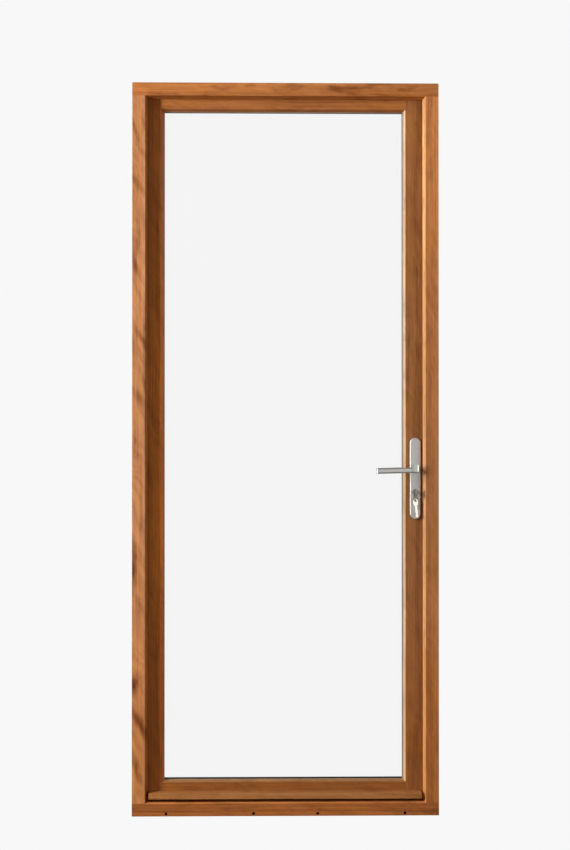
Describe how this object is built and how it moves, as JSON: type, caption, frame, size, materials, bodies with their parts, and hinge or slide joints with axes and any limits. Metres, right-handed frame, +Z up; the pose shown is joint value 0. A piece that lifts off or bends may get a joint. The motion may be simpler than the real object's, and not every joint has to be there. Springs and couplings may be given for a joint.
{
  "type": "glass door",
  "caption": "Single fully glazed timber door leaf in its timber frame, opening inwards, with a weather bar, butt hinges, lever handles on long plates and a profile cylinder lock.",
  "frame": {"origin": "middle of the sill's underside, halfway through the frame's depth", "axes": "+Z up, +X towards the lock side, -Y towards the outside and +Y towards the room"},
  "size_m": [0.9, 0.174, 2.15],
  "materials": {
    "frame_timber": "satin red-brown stain",
    "leaf_timber": "satin red-brown stain",
    "clear_glass": "clear",
    "black_rubber": "matte",
    "grey_sealant": "satin",
    "black_spacer": "matte",
    "satin_steel": "satin",
    "nickel": "bright",
    "plain_brass": "satin",
    "zinc_plate": "zinc plated"
  },
  "bodies": {
    "frame": {"frame_head": "frame_timber", "frame_hinge_jamb": "frame_timber", "frame_lock_jamb": "frame_timber", "frame_sill": "frame_timber", "frame_seal": "black_rubber", "corner_screws": "zinc_plate", "strike_plate": "satin_steel", "strike_screws": "zinc_plate", "hinge_frame_flaps": "satin_steel", "hinge_pins": "satin_steel", "hinge_washers": "plain_brass", "hinge_frame_screws": "zinc_plate"},
    "leaf": {"hinge_stile": "leaf_timber", "lock_stile": "leaf_timber", "top_rail": "leaf_timber", "bottom_rail": "leaf_timber", "weather_bar": "leaf_timber", "outer_pane": "clear_glass", "inner_pane": "clear_glass", "spacer_bar": "black_spacer", "edge_sealant": "black_spacer", "outer_glazing_seal": "grey_sealant", "inner_glazing_seal": "black_rubber", "setting_blocks": "black_rubber", "bead_hinge_side": "leaf_timber", "bead_lock_side": "leaf_timber", "bead_top": "leaf_timber", "bead_bottom": "leaf_timber", "bead_pins": "zinc_plate", "hinge_leaf_flaps": "satin_steel", "hinge_leaf_screws": "zinc_plate", "lock_case": "zinc_plate", "lock_cover": "zinc_plate", "lock_faceplate": "satin_steel", "lock_screws": "zinc_plate", "latch_spring": "zinc_plate", "outer_plate": "satin_steel", "inner_plate": "satin_steel", "plate_screws": "zinc_plate", "cylinder_body": "nickel", "cylinder_inner_plug": "nickel", "cylinder_screw": "zinc_plate"},
    "lever": {"outer_lever": "satin_steel", "inner_lever": "satin_steel", "spindle": "zinc_plate", "follower": "zinc_plate", "lever_grub_screws": "zinc_plate"},
    "latch": {"latch_bolt": "plain_brass"},
    "dead_bolt": {"dead_bolt": "plain_brass"},
    "key": {"cylinder_plug": "nickel", "cylinder_cam": "zinc_plate", "key": "nickel"},
    "ring": {"key_ring": "nickel", "spare_key": "nickel"}
  },
  "joints": [
    {"name": "door_swing", "type": "hinge", "parent": "frame", "child": "leaf", "pos_m": [-0.42, 0.0528, 1.075], "axis": [0, 0, 1], "range_deg": [0, 105]},
    {"name": "lever_turn", "type": "hinge", "parent": "leaf", "child": "lever", "pos_m": [0.383, 0.018, 1.017], "axis": [0, -1, 0], "range_deg": [0, 35], "stiffness_Nm_per_rad": 1.5, "springref_deg": -34.38},
    {"name": "latch_slide", "type": "slide", "parent": "leaf", "child": "latch", "axis": [-1, 0, 0], "range_m": [0, 0.0111], "deforming": ["latch_spring"]},
    {"name": "key_turn", "type": "hinge", "parent": "leaf", "child": "key", "pos_m": [0.383, 0.018, 0.947], "axis": [0, 1, 0], "range_deg": [0, 361]},
    {"name": "dead_bolt_slide", "type": "slide", "parent": "leaf", "child": "dead_bolt", "axis": [1, 0, 0], "range_m": [0, 0.02]},
    {"name": "ring_swing", "type": "hinge", "parent": "leaf", "child": "ring", "pos_m": [0.383, -0.0285, 0.9523], "axis": [0, 1, 0], "range_deg": [-8, 8]}
  ],
  "couplings": [
    {"joint": "latch_slide", "follows": "lever_turn", "m_per_rad": 0.018},
    {"joint": "key_turn", "follows": "dead_bolt_slide", "rad_per_m": 314.16}
  ]
}
